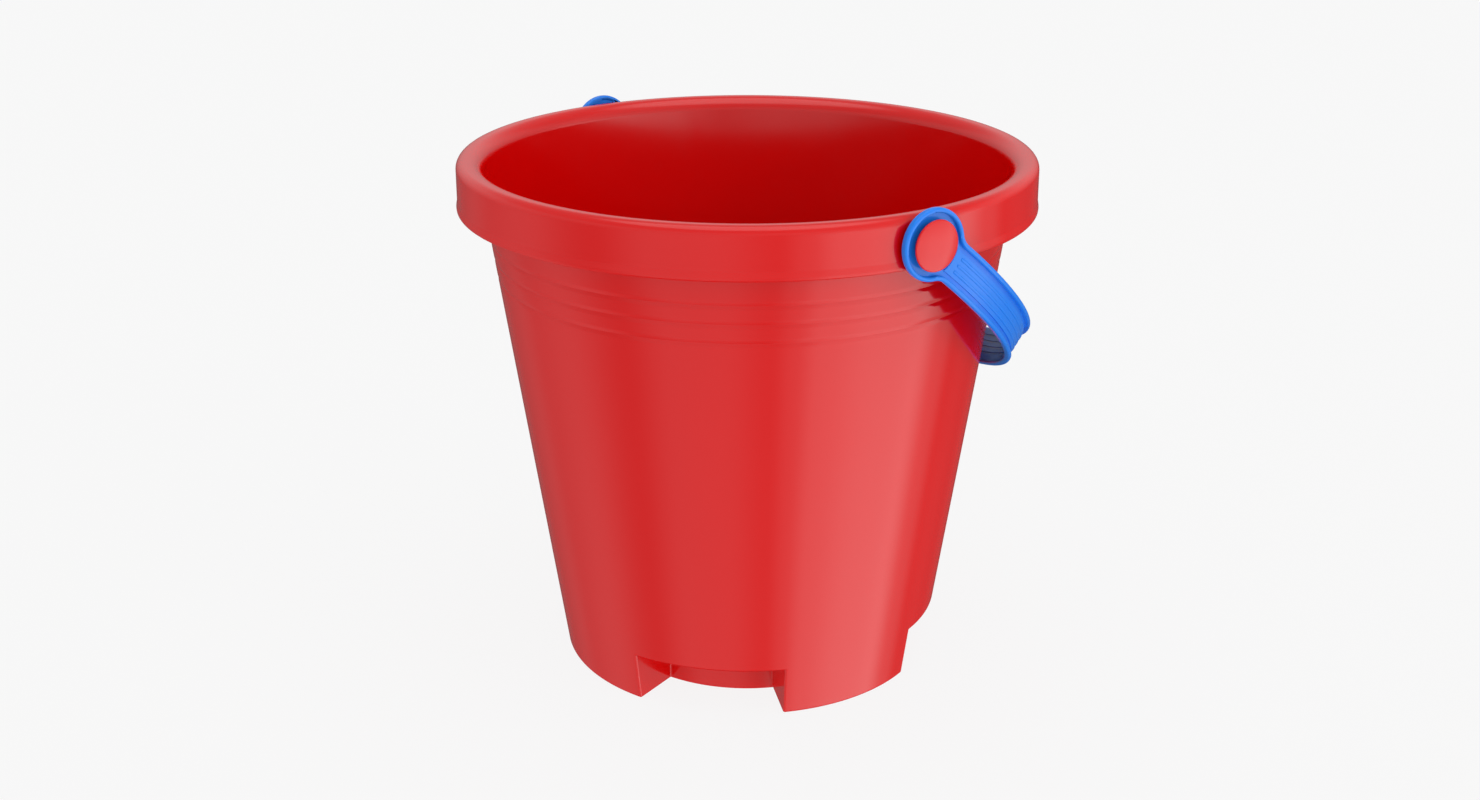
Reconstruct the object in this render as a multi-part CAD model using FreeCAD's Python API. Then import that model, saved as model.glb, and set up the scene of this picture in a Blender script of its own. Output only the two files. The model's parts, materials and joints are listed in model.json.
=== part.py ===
import FreeCAD, Part
import math
import os

# A child's sand bucket: a tapered pail with a folded rim and a four-notched castle base, a swinging
# strap handle with an eye at each end, and two snap-in buttons that pin the eyes to the rim.
#
# Millimetres. The origin is the centre of the base on the plane that the bucket stands on, +Z is up,
# and the handle's pivot axis runs along X. At rest the handle hangs against the wall on the +Y side.

# Bucket
HEIGHT = 183.0
BASE_RADIUS = 67.03
BASE_ROUNDING = 1.0
WALL_TAPER_DEG = 8.1
WALL = 2.0

RIM_RADIUS = 100.25             # outside of the skirt, at its lower edge
RIM_DEPTH = 16.9                # from the rim's top to the skirt's lower edge
RIM_DRAFT = 0.3                 # the skirt leans in by this much towards its top
RIM_TOP_ROUNDING = 3.0
RIM_MOUTH_ROUNDING = 5.5
SKIRT_EDGE_INSIDE_ROUNDING = 0.4
SKIRT_EDGE_OUTSIDE_ROUNDING = 0.5
FLOOR_ROUNDING = 2.0            # inside, where the floor meets the wall

GROOVE_COUNT = 3
GROOVE_TOP_Z = 155.2
GROOVE_PITCH = 6.4
GROOVE_WIDTH = 3.0
GROOVE_DEPTH = 0.22

NOTCH_COUNT = 4
NOTCH_ANGLE_DEG = 44.5
NOTCH_HEIGHT = 18.1
NOTCH_BACK_RADIUS = 49.25
NOTCH_ROUNDING = 0.8

STIFFENER_OFFSET = 10.0         # from a pivot to each of the two ribs beside it, behind the skirt
STIFFENER_THICKNESS = 1.6
STIFFENER_DEPTH = 11.0
STIFFENER_BITE = 0.3            # how far each rib runs into the rim and the wall

# Pivot
PIVOT_Z = 173.6
PIVOT_HOLE_RADIUS = 3.0

# Handle
HANDLE_INNER_RADIUS = 100.5     # the bow's inside, and the inside faces of the two eyes
HANDLE_LEG = 9.9                # straight part of the strap between the pivot axis and the bow
HANDLE_REST_DEG = 50.55         # angle from straight down at which its lower edge meets the wall
STRAP_WIDTH = 14.1
STRAP_THICKNESS = 2.45
STRAP_BEAD = 1.6                # width of the raised bead along each edge, outside
INNER_BEAD = 2.8                # the same, inside
BEAD_ROUNDING = 0.8
BEAD_INSIDE_ROUNDING = 0.5      # where a bead's crest turns down
GUTTER = 1.4                    # width of the groove beside each outside bead
SUNK_LEVEL = 0.95               # gutters and eye floor, measured from the strap's inner face
WEB_OUTER = 1.4                 # the web between the gutters
WEB_INNER = 0.3
STRAP_RIBS = 3
STRAP_RIB_PITCH = 2.25
STRAP_RIB_WIDTH = 1.1
STRAP_RIB_HEIGHT = 0.25
STRAP_RIB_DRAFT = 0.2           # how much narrower a rib's top is at each side
RIB_START = 12.7                # distance from the pivot axis at which the ribs begin
NECK_ROUNDING = 6.5             # the hollow curve from the eye into each edge of the strap
NECK_SINK = 0.3                 # how far the gussets that make this curve lie below the beads

EYE_RADIUS = 11.6
EYE_BEAD = 1.6
HUB_RADIUS = 6.0
BORE_CLEARANCE = 0.07

# Pivot button
JOURNAL_RADIUS = 4.0
CAP_RADIUS = 8.5
CAP_FOOT_RADIUS = 7.1            # the cap's side draws in towards its underside
CAP_DOME = 1.3
CAP_EDGE = 2.0
CAP_CHAMFER = 0.4
CAP_GAP = 0.3                   # play between the cap and the eye's floor
BARB_RADIUS = 3.7
BARB_TIP_RADIUS = 2.4
BARB_LENGTH = 4.0
BARB_SLOT = 1.2
BARB_SLOT_DEPTH = 5.2

OVERSHOOT = 5.0                 # how far a cutting or joining body runs past what it cuts or joins
SAME_POINT = 1e-6
ON_SURFACE = 0.1


def vec(x, y, z):
    return FreeCAD.Vector(x, y, z)


ORIGIN = vec(0, 0, 0)
X_AXIS = vec(1, 0, 0)
Z_AXIS = vec(0, 0, 1)


def wall_radius(z):
    """Outside radius of the tapered wall."""
    return BASE_RADIUS + z * math.tan(math.radians(WALL_TAPER_DEG))


def inner_radius(z):
    """Inside radius of the tapered wall."""
    return wall_radius(z) - WALL / math.cos(math.radians(WALL_TAPER_DEG))


def skirt_radius(z):
    """Outside radius of the rim's skirt."""
    return RIM_RADIUS - RIM_DRAFT * (z - (HEIGHT - RIM_DEPTH)) / RIM_DEPTH


def rounded_face(corners, place):
    """A flat face from (u, v, rounding) corners; place turns (u, v) into a point in space."""
    starts = []
    ends = []
    middles = []
    for index, (u, v, rounding) in enumerate(corners):
        before = corners[index - 1]
        after = corners[(index + 1) % len(corners)]
        to_before = (before[0] - u, before[1] - v)
        to_after = (after[0] - u, after[1] - v)
        length_before = math.hypot(*to_before)
        length_after = math.hypot(*to_after)
        to_before = (to_before[0] / length_before, to_before[1] / length_before)
        to_after = (to_after[0] / length_after, to_after[1] / length_after)
        cosine = to_before[0] * to_after[0] + to_before[1] * to_after[1]
        half_angle = math.acos(max(-1.0, min(1.0, cosine))) / 2
        back_off = rounding / math.tan(half_angle)
        starts.append((u + to_before[0] * back_off, v + to_before[1] * back_off))
        ends.append((u + to_after[0] * back_off, v + to_after[1] * back_off))
        bisector = (to_before[0] + to_after[0], to_before[1] + to_after[1])
        size = math.hypot(*bisector)
        reach = rounding / math.sin(half_angle) - rounding
        middles.append((u + bisector[0] / size * reach, v + bisector[1] / size * reach))
    edges = []
    for index, corner in enumerate(corners):
        if corner[2] > 0:
            arc = Part.Arc(place(*starts[index]), place(*middles[index]), place(*ends[index]))
            edges.append(arc.toShape())
        following = starts[(index + 1) % len(corners)]
        if math.dist(ends[index], following) > SAME_POINT:
            edges.append(Part.makeLine(place(*ends[index]), place(*following)))
    return Part.Face(Part.Wire(edges))


def fused(shapes):
    return shapes[0].multiFuse(shapes[1:]).removeSplitter()


# Bucket shell

def shell_of_revolution():
    """Floor, wall and folded rim."""
    under_rim = HEIGHT - WALL
    skirt_foot = HEIGHT - RIM_DEPTH
    corners = [
        (0, 0, 0),
        (BASE_RADIUS, 0, BASE_ROUNDING),
        (wall_radius(under_rim), under_rim, RIM_MOUTH_ROUNDING - WALL),
        (skirt_radius(under_rim) - WALL, under_rim, RIM_TOP_ROUNDING - WALL),
        (RIM_RADIUS - WALL, skirt_foot, SKIRT_EDGE_INSIDE_ROUNDING),
        (RIM_RADIUS, skirt_foot, SKIRT_EDGE_OUTSIDE_ROUNDING),
        (skirt_radius(HEIGHT), HEIGHT, RIM_TOP_ROUNDING),
        (inner_radius(HEIGHT), HEIGHT, RIM_MOUTH_ROUNDING),
        (inner_radius(WALL), WALL, FLOOR_ROUNDING),
        (0, WALL, 0),
    ]
    return rounded_face(corners, lambda r, z: vec(r, 0, z)).revolve(ORIGIN, Z_AXIS, 360)


def wall_groove(middle_z):
    """The body that cuts a shallow groove round the outside of the wall."""
    low = middle_z - GROOVE_WIDTH / 2
    high = middle_z + GROOVE_WIDTH / 2
    outside = wall_radius(high) + OVERSHOOT
    corners = [
        vec(wall_radius(low), 0, low),
        vec(wall_radius(middle_z) - GROOVE_DEPTH, 0, middle_z),
        vec(wall_radius(high), 0, high),
        vec(outside, 0, high),
        vec(outside, 0, low),
    ]
    return Part.Face(Part.makePolygon(corners + corners[:1])).revolve(ORIGIN, Z_AXIS, 360)


def notch_sector(middle_deg, margin):
    """The space of one notch, grown by margin at its sides, back and top."""
    half_angle = math.radians(NOTCH_ANGLE_DEG / 2)
    apex = -margin / math.sin(half_angle)
    reach = BASE_RADIUS + 4 * OVERSHOOT
    side = (reach - apex) * math.tan(half_angle)
    wedge = Part.Face(Part.makePolygon([
        vec(apex, 0, 0),
        vec(reach, -side, 0),
        vec(reach, side, 0),
        vec(apex, 0, 0),
    ])).extrude(vec(0, 0, NOTCH_HEIGHT + margin))
    core_height = NOTCH_HEIGHT + 2 * OVERSHOOT
    core = Part.makeCylinder(NOTCH_BACK_RADIUS - margin, core_height, vec(0, 0, -OVERSHOOT))
    sector = wedge.cut(core)
    sector.rotate(ORIGIN, Z_AXIS, middle_deg)
    return sector


def notch_lining(middle_deg):
    """The block that becomes one notch's ceiling, back and side walls once the notch is cut out of it."""
    middle_of_wall = WALL / 2
    top = NOTCH_HEIGHT + WALL
    body = Part.makeCone(BASE_RADIUS - middle_of_wall, wall_radius(top) - middle_of_wall, top)
    return notch_sector(middle_deg, WALL).common(body)


def notch_edges(shell):
    """Edges where a notch meets the outside of the wall."""
    found = []
    for edge in shell.Edges:
        ends = [vertex.Point for vertex in edge.Vertexes]
        on_wall = all(abs(math.hypot(p.x, p.y) - wall_radius(p.z)) < ON_SURFACE for p in ends)
        low = all(p.z < NOTCH_HEIGHT + ON_SURFACE for p in ends)
        spans_height = abs(ends[0].z - ends[-1].z) > NOTCH_HEIGHT / 2
        at_ceiling = all(abs(p.z - NOTCH_HEIGHT) < ON_SURFACE for p in ends)
        if on_wall and low and (spans_height or at_ceiling):
            found.append(edge)
    return found


def skirt_stiffener(side_sign, offset):
    """A small rib that ties the skirt to the wall beside a pivot, hidden inside the rim."""
    inner = inner_radius(HEIGHT) - OVERSHOOT
    outer = RIM_RADIUS - WALL
    top = HEIGHT - WALL + STIFFENER_BITE
    corner = vec(inner, offset - STIFFENER_THICKNESS / 2, top - STIFFENER_DEPTH)
    rib = Part.makeBox(outer - inner, STIFFENER_THICKNESS, STIFFENER_DEPTH, corner)
    if side_sign < 0:
        rib.rotate(ORIGIN, Z_AXIS, 180)
    return rib


def pivot_hole(side_sign):
    """The hole through the skirt that a button's barb snaps into."""
    start = vec(side_sign * (RIM_RADIUS - 2 * WALL), 0, PIVOT_Z)
    return Part.makeCylinder(PIVOT_HOLE_RADIUS, 2 * WALL + OVERSHOOT, start, vec(side_sign, 0, 0))


def inside_of_wall():
    """The bucket's inside and most of its wall's thickness, used to trim the ribs behind the skirt."""
    low = HEIGHT / 2
    bottom = wall_radius(low) - STIFFENER_BITE
    top = wall_radius(HEIGHT) - STIFFENER_BITE
    return Part.makeCone(bottom, top, HEIGHT - low, vec(0, 0, low))


def make_bucket_shell():
    shell = shell_of_revolution()
    notch_middles = [360 / NOTCH_COUNT * (index + 0.5) for index in range(NOTCH_COUNT)]
    linings = [notch_lining(middle) for middle in notch_middles]
    stiffeners = []
    for side_sign in (1, -1):
        for offset in (-STIFFENER_OFFSET, STIFFENER_OFFSET):
            stiffeners.append(skirt_stiffener(side_sign, offset).cut(inside_of_wall()))
    shell = fused([shell] + linings + stiffeners)
    for index in range(GROOVE_COUNT):
        shell = shell.cut(wall_groove(GROOVE_TOP_Z - index * GROOVE_PITCH))
    for middle in notch_middles:
        shell = shell.cut(notch_sector(middle, 0))
    for side_sign in (1, -1):
        shell = shell.cut(pivot_hole(side_sign))
    return shell.makeFillet(NOTCH_ROUNDING, notch_edges(shell))


# Handle, built upright with its pivot axis on the X axis, then laid back to its rest angle

def rib_corners():
    """Corners of the fine ribs on the web's outer and inner faces, in order across the strap."""
    outer = []
    inner = []
    for index in range(STRAP_RIBS):
        middle = (index - (STRAP_RIBS - 1) / 2) * STRAP_RIB_PITCH
        low = middle - STRAP_RIB_WIDTH / 2
        high = middle + STRAP_RIB_WIDTH / 2
        for points, level, crest in (
            (outer, WEB_OUTER, WEB_OUTER + STRAP_RIB_HEIGHT),
            (inner, WEB_INNER, WEB_INNER - STRAP_RIB_HEIGHT),
        ):
            points.append((level, low, 0))
            points.append((crest, low + STRAP_RIB_DRAFT, 0))
            points.append((crest, high - STRAP_RIB_DRAFT, 0))
            points.append((level, high, 0))
    return outer, inner


def strap_corners(ribbed):
    """Outline of the strap's section: u outwards from the inner face, v across the width."""
    half = STRAP_WIDTH / 2
    bead = half - STRAP_BEAD
    web = bead - GUTTER
    panel = half - INNER_BEAD
    lower_edge = [(0, -half, BEAD_ROUNDING), (STRAP_THICKNESS, -half, BEAD_ROUNDING)]
    upper_edge = [(STRAP_THICKNESS, half, BEAD_ROUNDING), (0, half, BEAD_ROUNDING)]
    lower_gutter = [
        (STRAP_THICKNESS, -bead, BEAD_INSIDE_ROUNDING),
        (SUNK_LEVEL, -bead, 0),
        (SUNK_LEVEL, -web, 0),
        (WEB_OUTER, -web, 0),
    ]
    upper_gutter = [(u, -v, rounding) for u, v, rounding in reversed(lower_gutter)]
    if not ribbed:
        return lower_edge + lower_gutter + upper_gutter + upper_edge
    outer_ribs, inner_ribs = rib_corners()
    inner_ribs.reverse()
    inner_start = [(0, panel, 0), (WEB_INNER, panel, 0)]
    inner_end = [(WEB_INNER, -panel, 0), (0, -panel, 0)]
    outside = lower_edge + lower_gutter + outer_ribs + upper_gutter + upper_edge
    return outside + inner_start + inner_ribs + inner_end


def strap_face(ribbed, height):
    """The strap's section on the +X side, in the horizontal plane at this height."""
    inner = HANDLE_INNER_RADIUS
    return rounded_face(strap_corners(ribbed), lambda u, v: vec(inner + u, v, height))


def bow_piece(ribbed, start_deg, end_deg):
    """A stretch of the half-round bow."""
    centre = vec(0, 0, HANDLE_LEG)
    face = strap_face(ribbed, HANDLE_LEG)
    face.rotate(centre, vec(0, -1, 0), start_deg)
    return face.revolve(centre, vec(0, -1, 0), end_deg - start_deg)


def turned(corners):
    """A solid turned about the X axis from (x, radius, rounding) corners."""
    return rounded_face(corners, lambda x, r: vec(x, 0, r)).revolve(ORIGIN, X_AXIS, 360)


def handle_eye():
    """The eye on the +X side: outer bead, sunk floor and hub, with the button's bore through it.

    Its bead is open towards the strap, where the web and its gutters run in.
    """
    inner = HANDLE_INNER_RADIUS
    outer = inner + STRAP_THICKNESS
    bead_root = EYE_RADIUS - EYE_BEAD
    bore = JOURNAL_RADIUS + BORE_CLEARANCE
    eye = turned([
        (inner, bore, 0),
        (inner, HUB_RADIUS, 0),
        (inner + WEB_INNER, HUB_RADIUS, 0),
        (inner + WEB_INNER, bead_root, 0),
        (inner, bead_root, 0),
        (inner, EYE_RADIUS, BEAD_ROUNDING),
        (outer, EYE_RADIUS, BEAD_ROUNDING),
        (outer, bead_root, BEAD_INSIDE_ROUNDING),
        (inner + SUNK_LEVEL, bead_root, 0),
        (inner + SUNK_LEVEL, bore, 0),
    ])
    opening = STRAP_WIDTH / 2 - STRAP_BEAD
    corner = vec(inner + SUNK_LEVEL, -opening, 0)
    return eye.cut(Part.makeBox(OVERSHOOT, 2 * opening, EYE_RADIUS + OVERSHOOT, corner))


def handle_leg():
    """The neck between an eye and the bow, cleared where it would cover the eye's sunk floor."""
    start = EYE_RADIUS / 2
    neck = strap_face(False, start).extrude(vec(0, 0, HANDLE_LEG - start))
    corner = vec(HANDLE_INNER_RADIUS - OVERSHOOT, 0, 0)
    length = STRAP_THICKNESS + 2 * OVERSHOOT
    return neck.cut(Part.makeCylinder(EYE_RADIUS - EYE_BEAD, length, corner, X_AXIS))


def neck_gusset(across_sign):
    """Fills the corner between the eye and one edge of the strap, up to a hollow curve."""
    half = STRAP_WIDTH / 2
    side = half + NECK_ROUNDING
    reach = EYE_RADIUS + NECK_ROUNDING
    along = math.sqrt(reach ** 2 - side ** 2)
    on_eye = (side * EYE_RADIUS / reach, along * EYE_RADIUS / reach)
    under_eye = (on_eye[0] - BEAD_ROUNDING, on_eye[1] - BEAD_ROUNDING)
    inside = half - BEAD_ROUNDING
    root = (inside, math.sqrt(EYE_RADIUS ** 2 - half ** 2) - BEAD_ROUNDING)
    middle_angle = (math.pi + math.atan2(-along, -side) % (2 * math.pi)) / 2
    middle = (side + NECK_ROUNDING * math.cos(middle_angle), along + NECK_ROUNDING * math.sin(middle_angle))

    def place(across, height):
        return vec(HANDLE_INNER_RADIUS + NECK_SINK, across * across_sign, height)

    face = Part.Face(Part.Wire([
        Part.Arc(place(half, along), place(*middle), place(*on_eye)).toShape(),
        Part.makeLine(place(*on_eye), place(*under_eye)),
        Part.makeLine(place(*under_eye), place(*root)),
        Part.makeLine(place(*root), place(inside, along)),
        Part.makeLine(place(inside, along), place(half, along)),
    ]))
    return face.extrude(vec(STRAP_THICKNESS - 2 * NECK_SINK, 0, 0))


def make_handle():
    bow_radius = HANDLE_INNER_RADIUS + STRAP_THICKNESS
    rib_start_deg = math.degrees((RIB_START - HANDLE_LEG) / bow_radius)
    one_side = [handle_eye(), handle_leg(), neck_gusset(1), neck_gusset(-1)]
    other_side = []
    for piece in one_side:
        copy = piece.copy()
        copy.rotate(ORIGIN, Z_AXIS, 180)
        other_side.append(copy)
    bow = [
        bow_piece(False, 0, rib_start_deg),
        bow_piece(True, rib_start_deg, 180 - rib_start_deg),
        bow_piece(False, 180 - rib_start_deg, 180),
    ]
    handle = fused(one_side + other_side + bow)
    handle.rotate(ORIGIN, X_AXIS, -(180 - HANDLE_REST_DEG))
    handle.translate(vec(0, 0, PIVOT_Z))
    return handle


# Pivot buttons

def make_pivot_button(side_sign):
    """Domed cap, journal for the handle's eye, and a split barb that snaps into the skirt's hole."""
    underside = HANDLE_INNER_RADIUS + SUNK_LEVEL + CAP_GAP
    rim_of_cap = underside + CAP_EDGE
    flat = CAP_RADIUS - CAP_CHAMFER
    crown = rim_of_cap + CAP_DOME
    dome_radius = (flat ** 2 + CAP_DOME ** 2) / (2 * CAP_DOME)
    half_way = math.asin(flat / dome_radius) / 2
    seat = skirt_radius(PIVOT_Z - JOURNAL_RADIUS)
    behind_skirt = math.sqrt((skirt_radius(PIVOT_Z + BARB_RADIUS) - WALL) ** 2 - BARB_RADIUS ** 2)
    tip = behind_skirt - BARB_LENGTH
    corners = [
        (crown, 0),
        (tip, 0),
        (tip, BARB_TIP_RADIUS),
        (behind_skirt, BARB_RADIUS),
        (behind_skirt, PIVOT_HOLE_RADIUS),
        (seat, PIVOT_HOLE_RADIUS),
        (seat, JOURNAL_RADIUS),
        (underside, JOURNAL_RADIUS),
        (underside, CAP_FOOT_RADIUS),
        (rim_of_cap - CAP_CHAMFER, CAP_RADIUS),
        (rim_of_cap, flat),
    ]
    points = [vec(x, 0, r) for x, r in corners]
    outline = [Part.makeLine(start, end) for start, end in zip(points, points[1:])]
    fall = dome_radius * (1 - math.cos(half_way))
    shoulder = vec(crown - fall, 0, dome_radius * math.sin(half_way))
    outline.append(Part.Arc(points[-1], shoulder, points[0]).toShape())
    button = Part.Face(Part.Wire(outline)).revolve(ORIGIN, X_AXIS, 360)
    for size_y, size_z in ((BARB_SLOT, 2 * OVERSHOOT), (2 * OVERSHOOT, BARB_SLOT)):
        corner = vec(tip - OVERSHOOT, -size_y / 2, -size_z / 2)
        button = button.cut(Part.makeBox(BARB_SLOT_DEPTH + OVERSHOOT, size_y, size_z, corner))
    if side_sign < 0:
        button.rotate(ORIGIN, Z_AXIS, 180)
    button.translate(vec(0, 0, PIVOT_Z))
    return button


def main():
    os.makedirs("parts", exist_ok=True)
    nodes = {
        "bucket_shell": make_bucket_shell(),
        "handle": make_handle(),
        "pivot_button_right": make_pivot_button(1),
        "pivot_button_left": make_pivot_button(-1),
    }
    for name, shape in nodes.items():
        solid = shape.Solids[0]
        print(name, len(shape.Solids), solid.isValid(), round(solid.Volume), solid.BoundBox)
        solid.exportStep(os.path.join("parts", name + ".step"))


main()
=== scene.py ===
import json
import math

import bmesh
import bpy
from mathutils import Matrix, Vector


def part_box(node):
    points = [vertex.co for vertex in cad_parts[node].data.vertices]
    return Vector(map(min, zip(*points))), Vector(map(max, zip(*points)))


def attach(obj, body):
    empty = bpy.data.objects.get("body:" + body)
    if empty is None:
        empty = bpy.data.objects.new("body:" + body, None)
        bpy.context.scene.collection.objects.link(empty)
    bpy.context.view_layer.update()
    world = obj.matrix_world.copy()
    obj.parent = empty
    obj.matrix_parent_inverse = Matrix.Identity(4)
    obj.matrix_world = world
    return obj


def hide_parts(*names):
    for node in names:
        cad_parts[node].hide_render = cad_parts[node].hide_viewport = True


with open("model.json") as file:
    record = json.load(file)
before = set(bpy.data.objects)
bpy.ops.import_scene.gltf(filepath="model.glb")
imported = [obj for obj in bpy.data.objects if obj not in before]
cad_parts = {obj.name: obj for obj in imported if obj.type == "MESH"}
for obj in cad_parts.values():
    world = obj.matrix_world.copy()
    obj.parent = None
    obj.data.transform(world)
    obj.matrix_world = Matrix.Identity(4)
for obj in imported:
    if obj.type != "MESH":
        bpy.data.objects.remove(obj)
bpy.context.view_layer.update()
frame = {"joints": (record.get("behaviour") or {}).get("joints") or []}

# Shapes are built in millimetres, in the row frame, and scaled to metres as they become objects.
MM = 0.001

shell_low, shell_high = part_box("bucket_shell")
button_low, button_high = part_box("pivot_button_right")
swing = frame["joints"][0]

# Bucket
HEIGHT = shell_high.z / MM
RIM_RADIUS = shell_high.y / MM
BASE_RADIUS = 67.03
BASE_ROUNDING = 1.0
WALL_TAPER = math.radians(8.1)
WALL = 2.0
RIM_DEPTH = 16.9
RIM_DRAFT = 0.45
RIM_TOP_ROUNDING = 3.0
RIM_MOUTH_ROUNDING = 5.5
RIM_BEAD = 0.25                 # how far the skirt's lower edge stands out
FLOOR_ROUNDING = 2.0
GROOVE_COUNT = 3
GROOVE_TOP_Z = 155.2
GROOVE_PITCH = 6.4
GROOVE_WIDTH = 3.0
GROOVE_DEPTH = 0.22
NOTCH_COUNT = 4
NOTCH_HALF_DEG = 22.25
NOTCH_HEIGHT = 18.1
NOTCH_BACK_RADIUS = 49.25
NOTCH_ROUNDING = 0.7
SEAM_MARGIN = 1.0               # the quarters' seams are left out of the rounding
STIFFENER_OFFSET = 10.0
STIFFENER_THICKNESS = 1.6
STIFFENER_DEPTH = 11.0
STIFFENER_BITE = 0.3            # how far the stiffeners reach into the flange
PIVOT_HOLE_RADIUS = 3.0

# Handle
PIVOT_Z = swing["pos_m"][2] / MM
LAID_BACK = math.radians(swing["range_deg"][1] / 2)   # from upright to rest
BOW_RADIUS = 100.5
BOW_LEG = 9.9
STRAP_THICKNESS = 2.45
STRAP_HALF_WIDTH = 7.05
STRAP_BEAD = 1.6
INNER_BEAD = 2.8
GUTTER = 1.4
NECK_FILLET = 6.5
SUNK_LEVEL = 0.95               # gutters and eye floor
WEB_INNER = 0.3
WEB_OUTER = 1.4
RIB_COUNT = 3
RIB_PITCH = 2.25
RIB_WIDTH = 1.1
RIB_TOP_WIDTH = 0.7
RIB_HEIGHT = 0.25
RIB_START = 12.7
EYE_RADIUS = 11.6
EYE_BEAD = 1.6
BEAD_ROUNDING = 0.8
BEAD_INSIDE_ROUNDING = 0.5
CREST_ROUNDING = 0.1
WEB_ROUNDING = 0.15
BOW_STEP = 1.6                  # length of strap between two cuts that let it bend
HUB_RADIUS = 6.0
BORE_RADIUS = 4.07
EYE_SIDES = 96

# Pivot button
CROWN = button_high.x / MM
BARB_TIP = button_low.x / MM
CAP_RADIUS = button_high.y / MM
CAP_GAP = 0.3
CAP_UNDERSIDE = BOW_RADIUS + SUNK_LEVEL + CAP_GAP
CAP_FOOT_RADIUS = 7.1            # the cap's side draws in towards its underside
CAP_DOME = 1.3
CAP_EDGE_ROUNDING = 0.45
CAP_SHOULDER = 0.5              # width of the rounded edge outside the dome
JOURNAL_RADIUS = 4.0
BARB_RADIUS = 3.7
BARB_TIP_RADIUS = 2.4
BARB_PLAY = 0.4                 # behind the skirt
SEAT_DEPTH = 0.2                # from the rim's widest circle to the skirt at the journal
BARB_SLOT = 1.2
BARB_SLOT_DEPTH = 5.2

ARC_STEP = math.radians(11)     # the longest step round a rounded corner
SHARP_ANGLE = math.radians(32)  # edges sharper than this aren't shaded smooth
SAME_PLACE = 1e-3
NEARBY = 0.02
OVERSHOOT = 5.0                 # how far a cutting body runs past what it cuts


def wall_radius(z):
    """Outside radius of the tapered wall."""
    return BASE_RADIUS + z * math.tan(WALL_TAPER)


def inner_radius(z):
    """Inside radius of the tapered wall."""
    return wall_radius(z) - WALL / math.cos(WALL_TAPER)


# Mesh building

def rounded_outline(corners):
    """A closed outline of (u, v) points from (u, v, rounding) corners."""
    points = []
    for index, (u, v, rounding) in enumerate(corners):
        corner = Vector((u, v))
        if rounding == 0:
            points.append((u, v))
            continue
        before = Vector(corners[index - 1][:2]) - corner
        after = Vector(corners[(index + 1) % len(corners)][:2]) - corner
        before.normalize()
        after.normalize()
        half = before.angle(after) / 2
        centre = corner + (before + after).normalized() * (rounding / math.sin(half))
        start = corner + before * (rounding / math.tan(half)) - centre
        end = corner + after * (rounding / math.tan(half)) - centre
        turn = math.atan2(start.x * end.y - start.y * end.x, start.dot(end))
        steps = max(2, math.ceil(abs(turn) / ARC_STEP))
        for step in range(steps + 1):
            angle = turn * step / steps
            x = start.x * math.cos(angle) - start.y * math.sin(angle)
            y = start.x * math.sin(angle) + start.y * math.cos(angle)
            points.append((centre.x + x, centre.y + y))
    return points


def prism(outline, place, low, high):
    """A closed solid between two copies of an outline; place turns (u, v, level) into a point."""
    mesh = bpy.data.meshes.new("prism")
    bm = bmesh.new()
    bottom = [bm.verts.new(place(u, v, low)) for u, v in outline]
    top = [bm.verts.new(place(u, v, high)) for u, v in outline]
    bm.faces.new(bottom)
    bm.faces.new(top)
    for index in range(len(outline)):
        after = (index + 1) % len(outline)
        bm.faces.new((bottom[index], bottom[after], top[after], top[index]))
    bmesh.ops.recalc_face_normals(bm, faces=bm.faces)
    bm.to_mesh(mesh)
    bm.free()
    return mesh


def upright(across, along, level):
    """Places an outline across the X axis."""
    return (level, across, along)


def block(low, high):
    """A closed box between two corners."""
    outline = [(low[0], low[1]), (high[0], low[1]), (high[0], high[1]), (low[0], high[1])]
    return prism(outline, lambda u, v, level: (u, v, level), low[2], high[2])


def circle(radius, sides):
    return [
        (radius * math.cos(2 * math.pi * k / sides), radius * math.sin(2 * math.pi * k / sides))
        for k in range(sides)
    ]


def combined(base, tools, operation):
    """The base mesh with each tool mesh joined to it or cut from it."""
    held = bpy.data.objects.new("boolean_base", base)
    bpy.context.scene.collection.objects.link(held)
    helpers = []
    for tool in tools:
        helper = bpy.data.objects.new("boolean_tool", tool)
        bpy.context.scene.collection.objects.link(helper)
        modifier = held.modifiers.new("boolean", "BOOLEAN")
        modifier.operation = operation
        modifier.solver = "EXACT"
        modifier.object = helper
        helpers.append(helper)
    graph = bpy.context.evaluated_depsgraph_get()
    result = bpy.data.meshes.new_from_object(held.evaluated_get(graph))
    for helper in helpers + [held]:
        bpy.data.objects.remove(helper)
    return result


def opened(mesh, axis, places):
    """The mesh as a bmesh, without the faces that lie at these places along an axis."""
    bm = bmesh.new()
    bm.from_mesh(mesh)
    bmesh.ops.remove_doubles(bm, verts=bm.verts, dist=1e-4)
    ends = []
    for face in bm.faces:
        if any(all(abs(vert.co[axis] - place) < SAME_PLACE for vert in face.verts) for place in places):
            ends.append(face)
    bmesh.ops.delete(bm, geom=ends, context="FACES")
    return bm


def soften(bm, width, segments, wanted, min_angle=math.radians(25)):
    """Rounds the creases that wanted picks."""
    bm.normal_update()
    creases = []
    for edge in bm.edges:
        if len(edge.link_faces) == 2 and edge.calc_face_angle(0) > min_angle and wanted(edge):
            creases.append(edge)
    bmesh.ops.bevel(
        bm, geom=creases, offset=width, offset_type="OFFSET", segments=segments, profile=0.5,
        affect="EDGES", clamp_overlap=False, loop_slide=True,
    )


def slice_across(bm, axis, places):
    """Cuts the mesh by planes at right angles to an axis, so that it can bend."""
    normal = Vector((0, 0, 0))
    normal[axis] = 1
    for place in places:
        geometry = bm.verts[:] + bm.edges[:] + bm.faces[:]
        bmesh.ops.bisect_plane(bm, geom=geometry, dist=1e-4, plane_co=normal * place, plane_no=normal)


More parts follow.
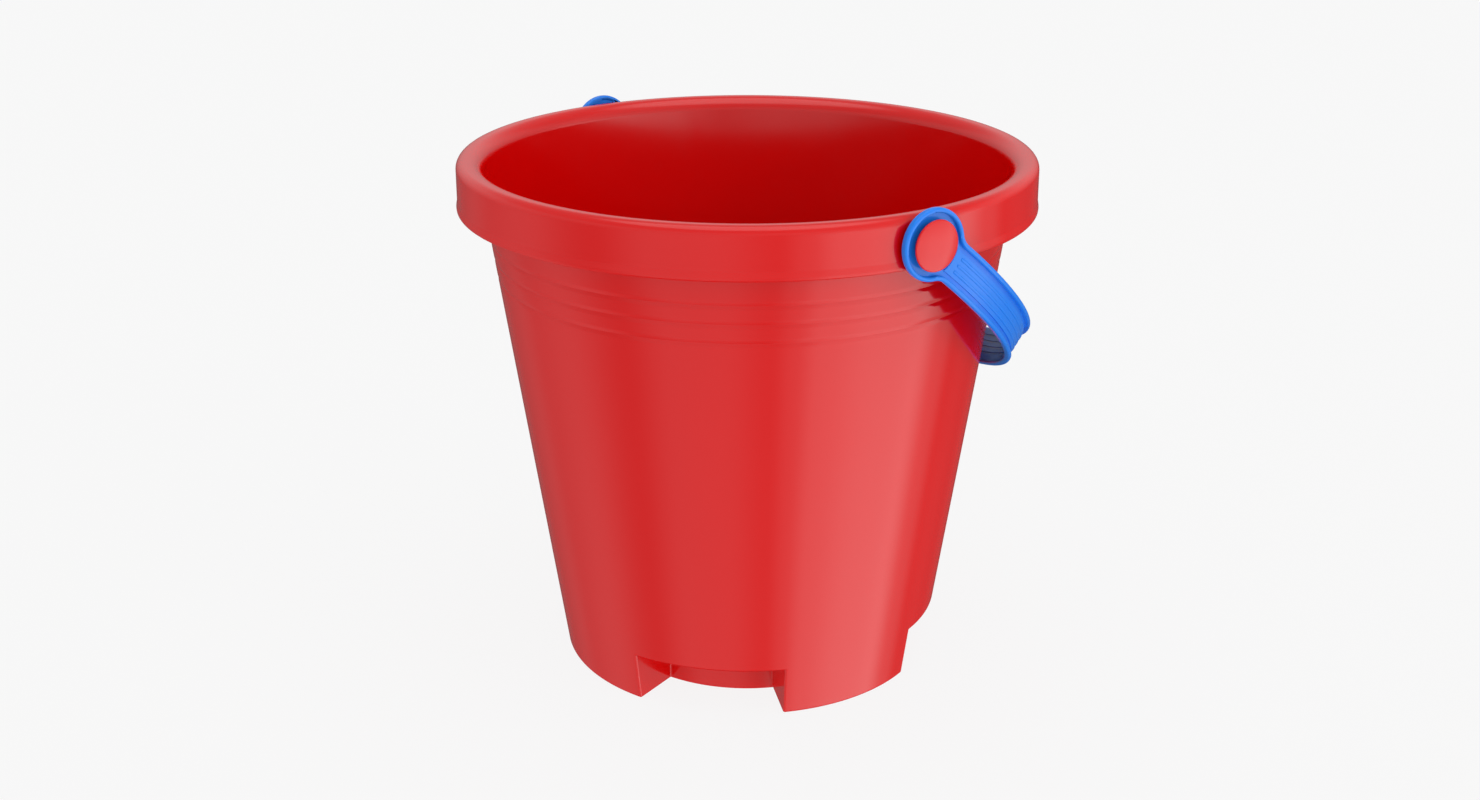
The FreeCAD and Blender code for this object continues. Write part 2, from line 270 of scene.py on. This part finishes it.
def weld(bm, distance=0.003):
    bmesh.ops.remove_doubles(bm, verts=bm.verts, dist=distance)
    bmesh.ops.dissolve_degenerate(bm, edges=bm.edges, dist=distance / 3)
    bmesh.ops.recalc_face_normals(bm, faces=bm.faces)


def revolved(outline, place, sides):
    """A closed solid turned about an axis, from an outline of (along, radius) points."""
    bm = bmesh.new()
    rings = []
    for along, radius in outline:
        if radius == 0:
            rings.append([bm.verts.new(place(along, 0, 0))])
        else:
            rings.append([bm.verts.new(place(along, y, z)) for y, z in circle(radius, sides)])
    for first, second in zip(rings, rings[1:]):
        for side in range(sides):
            after = (side + 1) % sides
            corners = [first[side % len(first)], first[after % len(first)]]
            corners += [second[after % len(second)], second[side % len(second)]]
            unique = list(dict.fromkeys(corners))
            if len(unique) > 2:
                bm.faces.new(unique)
    bmesh.ops.recalc_face_normals(bm, faces=bm.faces)
    return bm


def mesh_from(bm, name):
    mesh = bpy.data.meshes.new(name)
    bm.to_mesh(mesh)
    bm.free()
    return mesh


def add_piece(mesh, name, body, node, material):
    """Turns a mesh in millimetres into the piece that stands for a CAD node."""
    mesh.transform(Matrix.Scale(MM, 4))
    mesh.name = name
    mesh.materials.clear()
    mesh.materials.append(material)
    mesh.polygons.foreach_set("use_smooth", [True] * len(mesh.polygons))
    mesh.polygons.foreach_set("material_index", [0] * len(mesh.polygons))
    mesh.set_sharp_from_angle(angle=SHARP_ANGLE)
    piece = bpy.data.objects.new(name, mesh)
    bpy.context.scene.collection.objects.link(piece)
    weighted = piece.modifiers.new("weighted_normals", "WEIGHTED_NORMAL")
    weighted.keep_sharp = True
    weighted.weight = 50
    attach(piece, body)
    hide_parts(node)
    return piece


# Bucket

def grooved_wall():
    """Points up the outside of the wall, close together over the sharp-bottomed grooves."""
    points = []
    steps = 12
    for index in reversed(range(GROOVE_COUNT)):
        middle = GROOVE_TOP_Z - index * GROOVE_PITCH
        for step in range(-steps, steps + 1):
            z = middle + GROOVE_WIDTH / 2 * step / steps
            depth = GROOVE_DEPTH * (1 - abs(step) / steps) ** 1.4
            points.append((wall_radius(z) - depth, z))
    return points


def shell_outline():
    """Section of the shell: out from the axis, up the outside, round the rim and down inside."""
    foot = HEIGHT - RIM_DEPTH
    under = HEIGHT - WALL
    waist = RIM_RADIUS - RIM_BEAD
    top = RIM_RADIUS - RIM_DRAFT
    part_way = HEIGHT / 3
    below = rounded_outline([
        (0, 0, 0),
        (BASE_RADIUS, 0, BASE_ROUNDING),
        (wall_radius(part_way), part_way, 0),
    ])
    above = rounded_outline([
        (wall_radius(part_way), part_way, 0),
        (wall_radius(under), under, RIM_MOUTH_ROUNDING - WALL),
        (top - WALL, under, RIM_TOP_ROUNDING - WALL),
        (waist - WALL, foot, 0.4),
        (RIM_RADIUS - 0.1, foot, 0.7),
        (RIM_RADIUS, foot + 1.2, 0.9),
        (waist - 0.1, foot + 3.2, 2.5),
        (top, HEIGHT, RIM_TOP_ROUNDING),
        (inner_radius(HEIGHT), HEIGHT, RIM_MOUTH_ROUNDING),
        (inner_radius(WALL), WALL, FLOOR_ROUNDING),
        (0, WALL, 0),
    ])
    return below[:-1] + grooved_wall() + above[1:]


def shell_quarter():
    """A quarter of the shell around one notch, built laid flat and then bent round the axis.

    Laid flat, x is the radius, y the length of arc at the base, and z is up.
    """
    arc = BASE_RADIUS * math.radians(1)
    end = 180 / NOTCH_COUNT * arc
    half = NOTCH_HALF_DEG * arc
    quarter = prism(shell_outline(), lambda r, z, s: (r, s, z), -end, end)
    inner = NOTCH_BACK_RADIUS - WALL
    inner_side = half + math.degrees(math.asin(WALL / inner)) * arc
    outer_side = half + math.degrees(math.asin(WALL / BASE_RADIUS)) * arc
    outer = BASE_RADIUS - WALL / 2
    lining_outline = [
        (inner, -inner_side),
        (outer, -outer_side),
        (outer, outer_side),
        (inner, inner_side),
    ]
    lining = prism(lining_outline, lambda r, s, z: (r, s, z), WALL / 2, NOTCH_HEIGHT + WALL)
    for vert in lining.vertices:
        if vert.co.x > inner:
            vert.co.x += vert.co.z * math.tan(WALL_TAPER)
    outside = wall_radius(NOTCH_HEIGHT) + OVERSHOOT
    notch = block((NOTCH_BACK_RADIUS, -half, -OVERSHOOT), (outside, half, NOTCH_HEIGHT))
    solid = combined(combined(quarter, [lining], "UNION"), [notch], "DIFFERENCE")
    bm = opened(solid, 1, (-end, end))

    def around_notch(edge):
        low = all(vert.co.z < NOTCH_HEIGHT + OVERSHOOT for vert in edge.verts)
        outer_part = all(vert.co.x > inner - OVERSHOOT for vert in edge.verts)
        return low and outer_part and all(abs(vert.co.y) < end - SEAM_MARGIN for vert in edge.verts)

    soften(bm, NOTCH_ROUNDING, 4, around_notch)
    columns = 64
    slice_across(bm, 1, [end * (2 * k / columns - 1) for k in range(1, columns)])
    for vert in bm.verts:
        radius, arc_length, z = vert.co
        angle = math.radians(arc_length / arc)
        vert.co = (radius * math.cos(angle), radius * math.sin(angle), max(z, 0))
    return bm


def bucket_mesh():
    bm = shell_quarter()
    quarter = mesh_from(bm, "quarter")
    whole = bmesh.new()
    for index in range(NOTCH_COUNT):
        turned = quarter.copy()
        turned.transform(Matrix.Rotation(math.radians(360 / NOTCH_COUNT * (index + 0.5)), 4, "Z"))
        whole.from_mesh(turned)
    weld(whole)
    shell = mesh_from(whole, "shell")
    stiffeners = []
    holes = []
    for side in (1, -1):
        for offset in (-STIFFENER_OFFSET, STIFFENER_OFFSET):
            near = side * (wall_radius(HEIGHT) - WALL / 2)
            far = side * (RIM_RADIUS - WALL * 0.75)
            top = HEIGHT - WALL + STIFFENER_BITE
            low = (min(near, far), offset - STIFFENER_THICKNESS / 2, top - STIFFENER_DEPTH)
            high = (max(near, far), offset + STIFFENER_THICKNESS / 2, top)
            stiffeners.append(block(low, high))
        start = side * (RIM_RADIUS - 2 * WALL)
        end = side * (RIM_RADIUS + 2 * WALL)
        hole = prism(circle(PIVOT_HOLE_RADIUS, 48), upright, min(start, end), max(start, end))
        hole.transform(Matrix.Translation((0, 0, PIVOT_Z)))
        holes.append(hole)
    shell = combined(shell, stiffeners, "UNION")
    return combined(shell, holes, "DIFFERENCE")


# Handle

def plate_outline(eye_radius, half_width, fillet, end):
    """Outline of an eye that runs through hollow curves into half of the strap, from the pivot axis."""
    reach = fillet + eye_radius
    side = half_width + fillet
    along = math.sqrt(reach ** 2 - side ** 2)
    meets = math.atan2(along, side)
    half = [(half_width, end)]
    steps = 14
    for step in range(steps + 1):
        angle = math.pi + meets * step / steps
        half.append((side + fillet * math.cos(angle), along + fillet * math.sin(angle)))
    steps = 48
    for step in range(1, steps + 1):
        angle = meets - (meets + math.pi / 2) * step / steps
        half.append((eye_radius * math.cos(angle), eye_radius * math.sin(angle)))
    return half + [(-across, along_strap) for across, along_strap in reversed(half[:-1])]


def strap_end():
    """Length along the strap from the pivot axis to the middle of the bow."""
    return BOW_LEG + math.pi / 2 * (BOW_RADIUS + STRAP_THICKNESS)


def web_outline():
    """The web between the gutters: it starts at the edge of the eye's sunk floor."""
    radius = EYE_RADIUS - EYE_BEAD
    half = STRAP_HALF_WIDTH - STRAP_BEAD - GUTTER
    spread = math.asin(half / radius)
    steps = 12
    start = []
    for step in range(steps + 1):
        angle = spread * (1 - 2 * step / steps)
        start.append((radius * math.sin(angle), radius * math.cos(angle)))
    return [(-half, strap_end()), (half, strap_end())] + start


def rib_outline(middle, width):
    """A rib seen from above, with a half-round start."""
    half = width / 2
    steps = 8
    start = []
    for step in range(steps + 1):
        angle = math.pi * (1 + step / steps)
        along = RIB_START + RIB_WIDTH / 2 + half * math.sin(angle)
        start.append((middle + half * math.cos(angle), along))
    return start + [(middle + half, strap_end()), (middle - half, strap_end())]


def strap_rib(middle, root, crest):
    """One fine rib whose sides slope from its root to its narrower crest."""
    bar = prism(rib_outline(middle, RIB_WIDTH), upright, root, crest)
    points = rib_outline(middle, RIB_TOP_WIDTH)
    for vert, (across, along) in zip(bar.vertices[len(points):], points):
        vert.co = (crest, across, along)
    return bar


def strap_ribs():
    """The fine ribs on both faces of the web."""
    bury = 0.15
    bars = []
    for index in range(RIB_COUNT):
        middle = (index - (RIB_COUNT - 1) / 2) * RIB_PITCH
        bars.append(strap_rib(middle, WEB_OUTER - bury, WEB_OUTER + RIB_HEIGHT))
        bars.append(strap_rib(middle, WEB_INNER + bury, WEB_INNER - RIB_HEIGHT))
    return bars


def flat_handle():
    """Half of the handle laid flat: x is the thickness, y across, z along."""
    inner_panel = STRAP_HALF_WIDTH - INNER_BEAD
    bead_root = EYE_RADIUS - EYE_BEAD
    inset_fillet = NECK_FILLET + (STRAP_BEAD + EYE_BEAD) / 2
    whole = plate_outline(EYE_RADIUS, STRAP_HALF_WIDTH, NECK_FILLET, strap_end())
    plate = prism(whole, upright, 0, STRAP_THICKNESS)
    sunk_end = strap_end() + OVERSHOOT
    sunk = plate_outline(bead_root, STRAP_HALF_WIDTH - STRAP_BEAD, inset_fillet, sunk_end)
    eye_back = combined(
        prism(circle(bead_root, EYE_SIDES), upright, -OVERSHOOT, WEB_INNER),
        [prism(circle(HUB_RADIUS, EYE_SIDES), upright, -2 * OVERSHOOT, OVERSHOOT)],
        "DIFFERENCE",
    )
    cutters = [
        prism(sunk, upright, SUNK_LEVEL, OVERSHOOT),
        eye_back,
        prism(circle(BORE_RADIUS, EYE_SIDES), upright, -OVERSHOOT, OVERSHOOT),
        block((-OVERSHOOT, -inner_panel, RIB_START), (WEB_INNER, inner_panel, sunk_end)),
    ]
    tray = combined(plate, cutters, "DIFFERENCE")
    web = prism(web_outline(), upright, SUNK_LEVEL / 2, WEB_OUTER)
    return combined(tray, [web] + strap_ribs(), "UNION")


def handle_mesh():
    end = strap_end()
    web_half = STRAP_HALF_WIDTH - STRAP_BEAD - GUTTER
    bm = opened(flat_handle(), 2, (end,))

    def on_face(vert):
        return abs(vert.co.x) < SAME_PLACE or abs(vert.co.x - STRAP_THICKNESS) < SAME_PLACE

    def outline_edge(edge):
        for vert in edge.verts:
            from_axis = math.hypot(vert.co.y, vert.co.z)
            on_strap_edge = abs(vert.co.y) > STRAP_HALF_WIDTH - NEARBY
            on_eye_edge = abs(from_axis - EYE_RADIUS) < NEARBY
            if not (on_face(vert) and (on_strap_edge or on_eye_edge)):
                return False
        return True

    def bead_edge(edge):
        return all(abs(vert.co.x - STRAP_THICKNESS) < SAME_PLACE for vert in edge.verts)

    def web_edge(edge):
        level = all(abs(vert.co.x - WEB_OUTER) < SAME_PLACE for vert in edge.verts)
        return level and all(abs(vert.co.y) < web_half + NEARBY for vert in edge.verts)

    def crest_edge(edge):
        return all(abs(vert.co.x - WEB_OUTER - RIB_HEIGHT) < SAME_PLACE for vert in edge.verts)

    soften(bm, BEAD_ROUNDING, 5, outline_edge)
    soften(bm, BEAD_INSIDE_ROUNDING, 4, bead_edge)
    soften(bm, CREST_ROUNDING, 2, crest_edge)
    soften(bm, WEB_ROUNDING, 2, web_edge, math.radians(60))
    count = int((end - RIB_START) / BOW_STEP)
    slice_across(bm, 2, [RIB_START + BOW_STEP * (k + 1) for k in range(count)])
    for vert in bm.verts:
        outwards, across, along = vert.co
        angle = max(0, along - BOW_LEG) / (BOW_RADIUS + STRAP_THICKNESS)
        radius = BOW_RADIUS + outwards
        rise = min(along, BOW_LEG) + radius * math.sin(angle)
        vert.co = (radius * math.cos(angle), across, rise)
    half = mesh_from(bm, "half_handle")
    whole = bmesh.new()
    whole.from_mesh(half)
    half.transform(Matrix.Rotation(math.pi, 4, "Z"))
    whole.from_mesh(half)
    weld(whole)
    mesh = mesh_from(whole, "handle")
    mesh.transform(Matrix.Translation((0, 0, PIVOT_Z)) @ Matrix.Rotation(-LAID_BACK, 4, "X"))
    return mesh


# Pivot buttons

def button_outline():
    """Section of the right-hand button: (distance along X, radius), from the crown to the barb's tip."""
    edge_x = CROWN - CAP_DOME
    dome_radius = (CAP_RADIUS ** 2 + CAP_DOME ** 2) / (2 * CAP_DOME)
    reach = math.asin((CAP_RADIUS - CAP_SHOULDER) / dome_radius)
    steps = 12
    dome = []
    for step in range(steps):
        angle = reach * step / steps
        dome.append((CROWN - dome_radius * (1 - math.cos(angle)), dome_radius * math.sin(angle)))
    behind = RIM_RADIUS - WALL - BARB_PLAY
    seat = RIM_RADIUS - SEAT_DEPTH
    body = rounded_outline([
        dome[-1] + (0,),
        (edge_x, CAP_RADIUS, CAP_EDGE_ROUNDING),
        (CAP_UNDERSIDE, CAP_FOOT_RADIUS, 0.15),
        (CAP_UNDERSIDE, JOURNAL_RADIUS, 0.2),
        (seat, JOURNAL_RADIUS, 0.2),
        (seat, PIVOT_HOLE_RADIUS, 0.1),
        (behind, PIVOT_HOLE_RADIUS, 0.1),
        (behind, BARB_RADIUS, 0.2),
        (BARB_TIP, BARB_TIP_RADIUS, 0.3),
        (BARB_TIP, 0, 0),
    ])
    return dome + body[1:]


def button_mesh(side):
    bm = revolved(button_outline(), lambda x, y, z: (x, y, z), 96)
    reach = 2 * OVERSHOOT
    slots = []
    for half_y, half_z in ((BARB_SLOT / 2, reach), (reach, BARB_SLOT / 2)):
        low = (BARB_TIP - reach, -half_y, -half_z)
        high = (BARB_TIP + BARB_SLOT_DEPTH, half_y, half_z)
        slots.append(block(low, high))
    mesh = combined(mesh_from(bm, "button"), slots, "DIFFERENCE")
    if side < 0:
        mesh.transform(Matrix.Rotation(math.pi, 4, "Z"))
    mesh.transform(Matrix.Translation((0, 0, PIVOT_Z)))
    return mesh


# Materials

def node_after(nodes, kind, **values):
    node = nodes.new(kind)
    for name, value in values.items():
        node.inputs[name].default_value = value
    return node


PLASTIC_IOR = 1.49
GLOSS_SPREAD = 0.015


def plastic(name, colour, deeper, roughness, reflection=0.5):
    """Moulded gloss plastic: faint flow marks, uneven gloss, slow waves and a fine grain."""
    material = bpy.data.materials.new(name)
    material.use_nodes = True
    nodes = material.node_tree.nodes
    links = material.node_tree.links
    shader = nodes["Principled BSDF"]
    shader.inputs["IOR"].default_value = PLASTIC_IOR
    shader.inputs["Specular IOR Level"].default_value = reflection
    place = nodes.new("ShaderNodeTexCoord")

    stretch = node_after(nodes, "ShaderNodeMapping", Scale=(1.0, 1.0, 0.25))
    links.new(place.outputs["Object"], stretch.inputs["Vector"])
    flow = node_after(nodes, "ShaderNodeTexNoise", Scale=28.0, Detail=4.0, Roughness=0.6, Distortion=0.4)
    links.new(stretch.outputs["Vector"], flow.inputs["Vector"])
    mix = nodes.new("ShaderNodeMix")
    mix.data_type = "RGBA"
    mix.inputs["A"].default_value = (*deeper, 1)
    mix.inputs["B"].default_value = (*colour, 1)
    links.new(flow.outputs["Fac"], mix.inputs["Factor"])
    links.new(mix.outputs["Result"], shader.inputs["Base Color"])

    patches = node_after(nodes, "ShaderNodeTexNoise", Scale=55.0, Detail=6.0, Roughness=0.65)
    links.new(place.outputs["Object"], patches.inputs["Vector"])
    gloss = nodes.new("ShaderNodeMapRange")
    gloss.inputs["From Min"].default_value = 0.3
    gloss.inputs["From Max"].default_value = 0.7
    gloss.inputs["To Min"].default_value = roughness - GLOSS_SPREAD
    gloss.inputs["To Max"].default_value = roughness + GLOSS_SPREAD
    links.new(patches.outputs["Fac"], gloss.inputs["Value"])
    links.new(gloss.outputs["Result"], shader.inputs["Roughness"])

    waves = node_after(nodes, "ShaderNodeTexNoise", Scale=35.0, Detail=1.0)
    grain = node_after(nodes, "ShaderNodeTexNoise", Scale=2200.0, Detail=2.0)
    links.new(place.outputs["Object"], waves.inputs["Vector"])
    links.new(place.outputs["Object"], grain.inputs["Vector"])
    slow = node_after(nodes, "ShaderNodeBump", Strength=0.2, Distance=0.00005)
    fine = node_after(nodes, "ShaderNodeBump", Strength=0.2, Distance=0.000002)
    links.new(waves.outputs["Fac"], slow.inputs["Height"])
    links.new(grain.outputs["Fac"], fine.inputs["Height"])
    links.new(slow.outputs["Normal"], fine.inputs["Normal"])
    links.new(fine.outputs["Normal"], shader.inputs["Normal"])
    return material


def make_object():
    red = plastic("red_shell_plastic", (0.68, 0.001, 0.001), (0.66, 0.0005, 0.0005), 0.12)
    blue = plastic("blue_handle_plastic", (0.012, 0.215, 0.84), (0.010, 0.200, 0.81), 0.16, 0.33)
    button_red = plastic("red_button_plastic", (0.70, 0.002, 0.003), (0.68, 0.001, 0.002), 0.11)
    add_piece(bucket_mesh(), "shell_moulding", "bucket", "bucket_shell", red)
    add_piece(handle_mesh(), "strap_handle", "handle", "handle", blue)
    for side, name in ((1, "right"), (-1, "left")):
        node = "pivot_button_" + name
        add_piece(button_mesh(side), "snap_button_" + name, "bucket", node, button_red)


# Stage, light and camera

def make_floor():
    """Pale paper that gives off its own even light and throws none on the object."""
    bm = bmesh.new()
    size = 12.0
    corners = [(-size, -size, 0), (size, -size, 0), (size, size, 0), (-size, size, 0)]
    bm.faces.new([bm.verts.new(corner) for corner in corners])
    mesh = mesh_from(bm, "studio_floor")
    floor = bpy.data.objects.new("studio_floor", mesh)
    bpy.context.scene.collection.objects.link(floor)
    material = bpy.data.materials.new("floor_paper")
    material.use_nodes = True
    nodes = material.node_tree.nodes
    shader = nodes["Principled BSDF"]
    shader.inputs["Base Color"].default_value = (0.05, 0.05, 0.05, 1)
    shader.inputs["Roughness"].default_value = 1.0
    shader.inputs["Specular IOR Level"].default_value = 0.0
    shader.inputs["Emission Color"].default_value = (1, 1, 1, 1)
    shader.inputs["Emission Strength"].default_value = 0.885
    mesh.materials.append(material)
    floor.visible_glossy = False
    floor.visible_shadow = False


VIEW_AZIMUTH = math.radians(56.3)      # from straight along +Y, towards +X
VIEW_PITCH = 0.3614
VIEW_YAW = -0.00405
VIEW_DISTANCE = 0.6228
VIEW_HEIGHT = 0.32653
LENS_MM = 44.67


def around(azimuth_deg, distance, height):
    """A point at this azimuth to the right of the camera, as seen from the object."""
    angle = VIEW_AZIMUTH + math.radians(azimuth_deg)
    return Vector((math.sin(angle) * distance, -math.cos(angle) * distance, height))


def look_at(obj, target):
    obj.rotation_mode = "QUATERNION"
    obj.rotation_quaternion = (target - obj.location).to_track_quat("-Z", "Y")


# How bright the studio is around the object: (degrees to the right of the camera, radiance).
STUDIO_RING = [
    (-180, 0.06), (-150, 0.16), (-123, 0.33), (-88, 0.72), (-61, 0.46), (-36, 0.95), (-12, 0.95),
    (12, 0.60), (23, 1.05), (36, 1.90), (61, 2.35), (88, 2.10), (105, 0.70), (118, 0.24), (145, 0.12),
    (180, 0.06),
]
# How bright the studio is overhead, by height on a unit sphere: (height, radiance).
STUDIO_OVERHEAD = [(0, 0.85), (0.4, 0.85), (0.6, 0.60), (0.82, 0.60), (0.93, 2.10), (1, 2.10)]
STUDIO_PEAK = 2.5               # the strength that the levels are fractions of
UNDER_LEVEL = 0.15              # what is left of the ring's light straight below
UNDER_FADE = (-0.95, -0.72)     # the heights between which the ring's light comes in from below
RING_FADE = (-0.15, 0.3)        # the heights between which the overhead light takes over
OVERHEAD_SHARE = 0.85           # the overhead light's share above that

KEY_SIZE = 0.4
KEY_POWER = 2.5
KEY_AZIMUTH_DEG = 60
KEY_DISTANCE = 1.6
KEY_HEIGHT = 0.75
KEY_TARGET_HEIGHT = 0.1


def ranged(tree, source, source_range, result_range):
    """A value mapped from one range to another, clamped at both ends."""
    node = tree.nodes.new("ShaderNodeMapRange")
    node.inputs["From Min"].default_value, node.inputs["From Max"].default_value = source_range
    node.inputs["To Min"].default_value, node.inputs["To Max"].default_value = result_range
    tree.links.new(source, node.inputs["Value"])
    return node.outputs["Result"]


def smooth_levels(tree, source, levels):
    """A smooth run of grey levels; levels are (place from 0 to 1, radiance)."""
    ramp = tree.nodes.new("ShaderNodeValToRGB")
    ramp.color_ramp.interpolation = "EASE"
    stops = ramp.color_ramp.elements
    stops[1].position = 1.0
    for place, radiance in levels[1:-1]:
        stops.new(place)
    for stop, (place, radiance) in zip(stops, levels):
        level = radiance / STUDIO_PEAK
        stop.color = (level, level, level, 1)
    tree.links.new(source, ramp.inputs["Fac"])
    return ramp.outputs["Color"]


def make_studio():
    """A ring of soft panels that fades, above the object, into the light from overhead."""
    world = bpy.data.worlds.new("studio")
    bpy.context.scene.world = world
    world.use_nodes = True
    tree = world.node_tree
    place = tree.nodes.new("ShaderNodeTexCoord")
    turn = tree.nodes.new("ShaderNodeMapping")
    turn.inputs["Rotation"].default_value = (0, 0, math.pi / 2 - VIEW_AZIMUTH)
    tree.links.new(place.outputs["Generated"], turn.inputs["Vector"])
    split = tree.nodes.new("ShaderNodeSeparateXYZ")
    tree.links.new(turn.outputs["Vector"], split.inputs["Vector"])
    azimuth = tree.nodes.new("ShaderNodeMath")
    azimuth.operation = "ARCTAN2"
    tree.links.new(split.outputs["Y"], azimuth.inputs[0])
    tree.links.new(split.outputs["X"], azimuth.inputs[1])
    height = split.outputs["Z"]
    around_ring = ranged(tree, azimuth.outputs["Value"], (-math.pi, math.pi), (0, 1))
    ring = [(degrees / 360 + 0.5, radiance) for degrees, radiance in STUDIO_RING]
    mix = tree.nodes.new("ShaderNodeMix")
    mix.data_type = "RGBA"
    tree.links.new(ranged(tree, height, RING_FADE, (0, OVERHEAD_SHARE)), mix.inputs["Factor"])
    tree.links.new(smooth_levels(tree, around_ring, ring), mix.inputs["A"])
    tree.links.new(smooth_levels(tree, height, STUDIO_OVERHEAD), mix.inputs["B"])
    strength = ranged(tree, height, UNDER_FADE, (STUDIO_PEAK * UNDER_LEVEL, STUDIO_PEAK))
    background = tree.nodes["Background"]
    tree.links.new(mix.outputs["Result"], background.inputs["Color"])
    tree.links.new(strength, background.inputs["Strength"])


def make_key():
    """A soft lamp to the right of the camera and above the rim."""
    data = bpy.data.lights.new("key", "AREA")
    data.size = KEY_SIZE
    data.energy = KEY_POWER
    lamp = bpy.data.objects.new("key", data)
    bpy.context.scene.collection.objects.link(lamp)
    lamp.location = around(KEY_AZIMUTH_DEG, KEY_DISTANCE, KEY_HEIGHT)
    look_at(lamp, Vector((0, 0, KEY_TARGET_HEIGHT)))
    lamp.visible_camera = False
    lamp.visible_glossy = False


def make_camera():
    data = bpy.data.cameras.new("camera")
    data.lens = LENS_MM
    data.sensor_width = 36.0
    data.clip_start = 0.01
    data.clip_end = 100.0
    camera = bpy.data.objects.new("camera", data)
    bpy.context.scene.collection.objects.link(camera)
    camera.location = around(0, VIEW_DISTANCE, VIEW_HEIGHT)
    turn = VIEW_AZIMUTH - VIEW_YAW
    look = Vector((
        -math.sin(turn) * math.cos(VIEW_PITCH),
        math.cos(turn) * math.cos(VIEW_PITCH),
        -math.sin(VIEW_PITCH),
    ))
    look_at(camera, camera.location + look)
    bpy.context.scene.camera = camera


make_object()
make_floor()
make_studio()
make_key()
make_camera()
bpy.context.scene.view_settings.view_transform = "Standard"
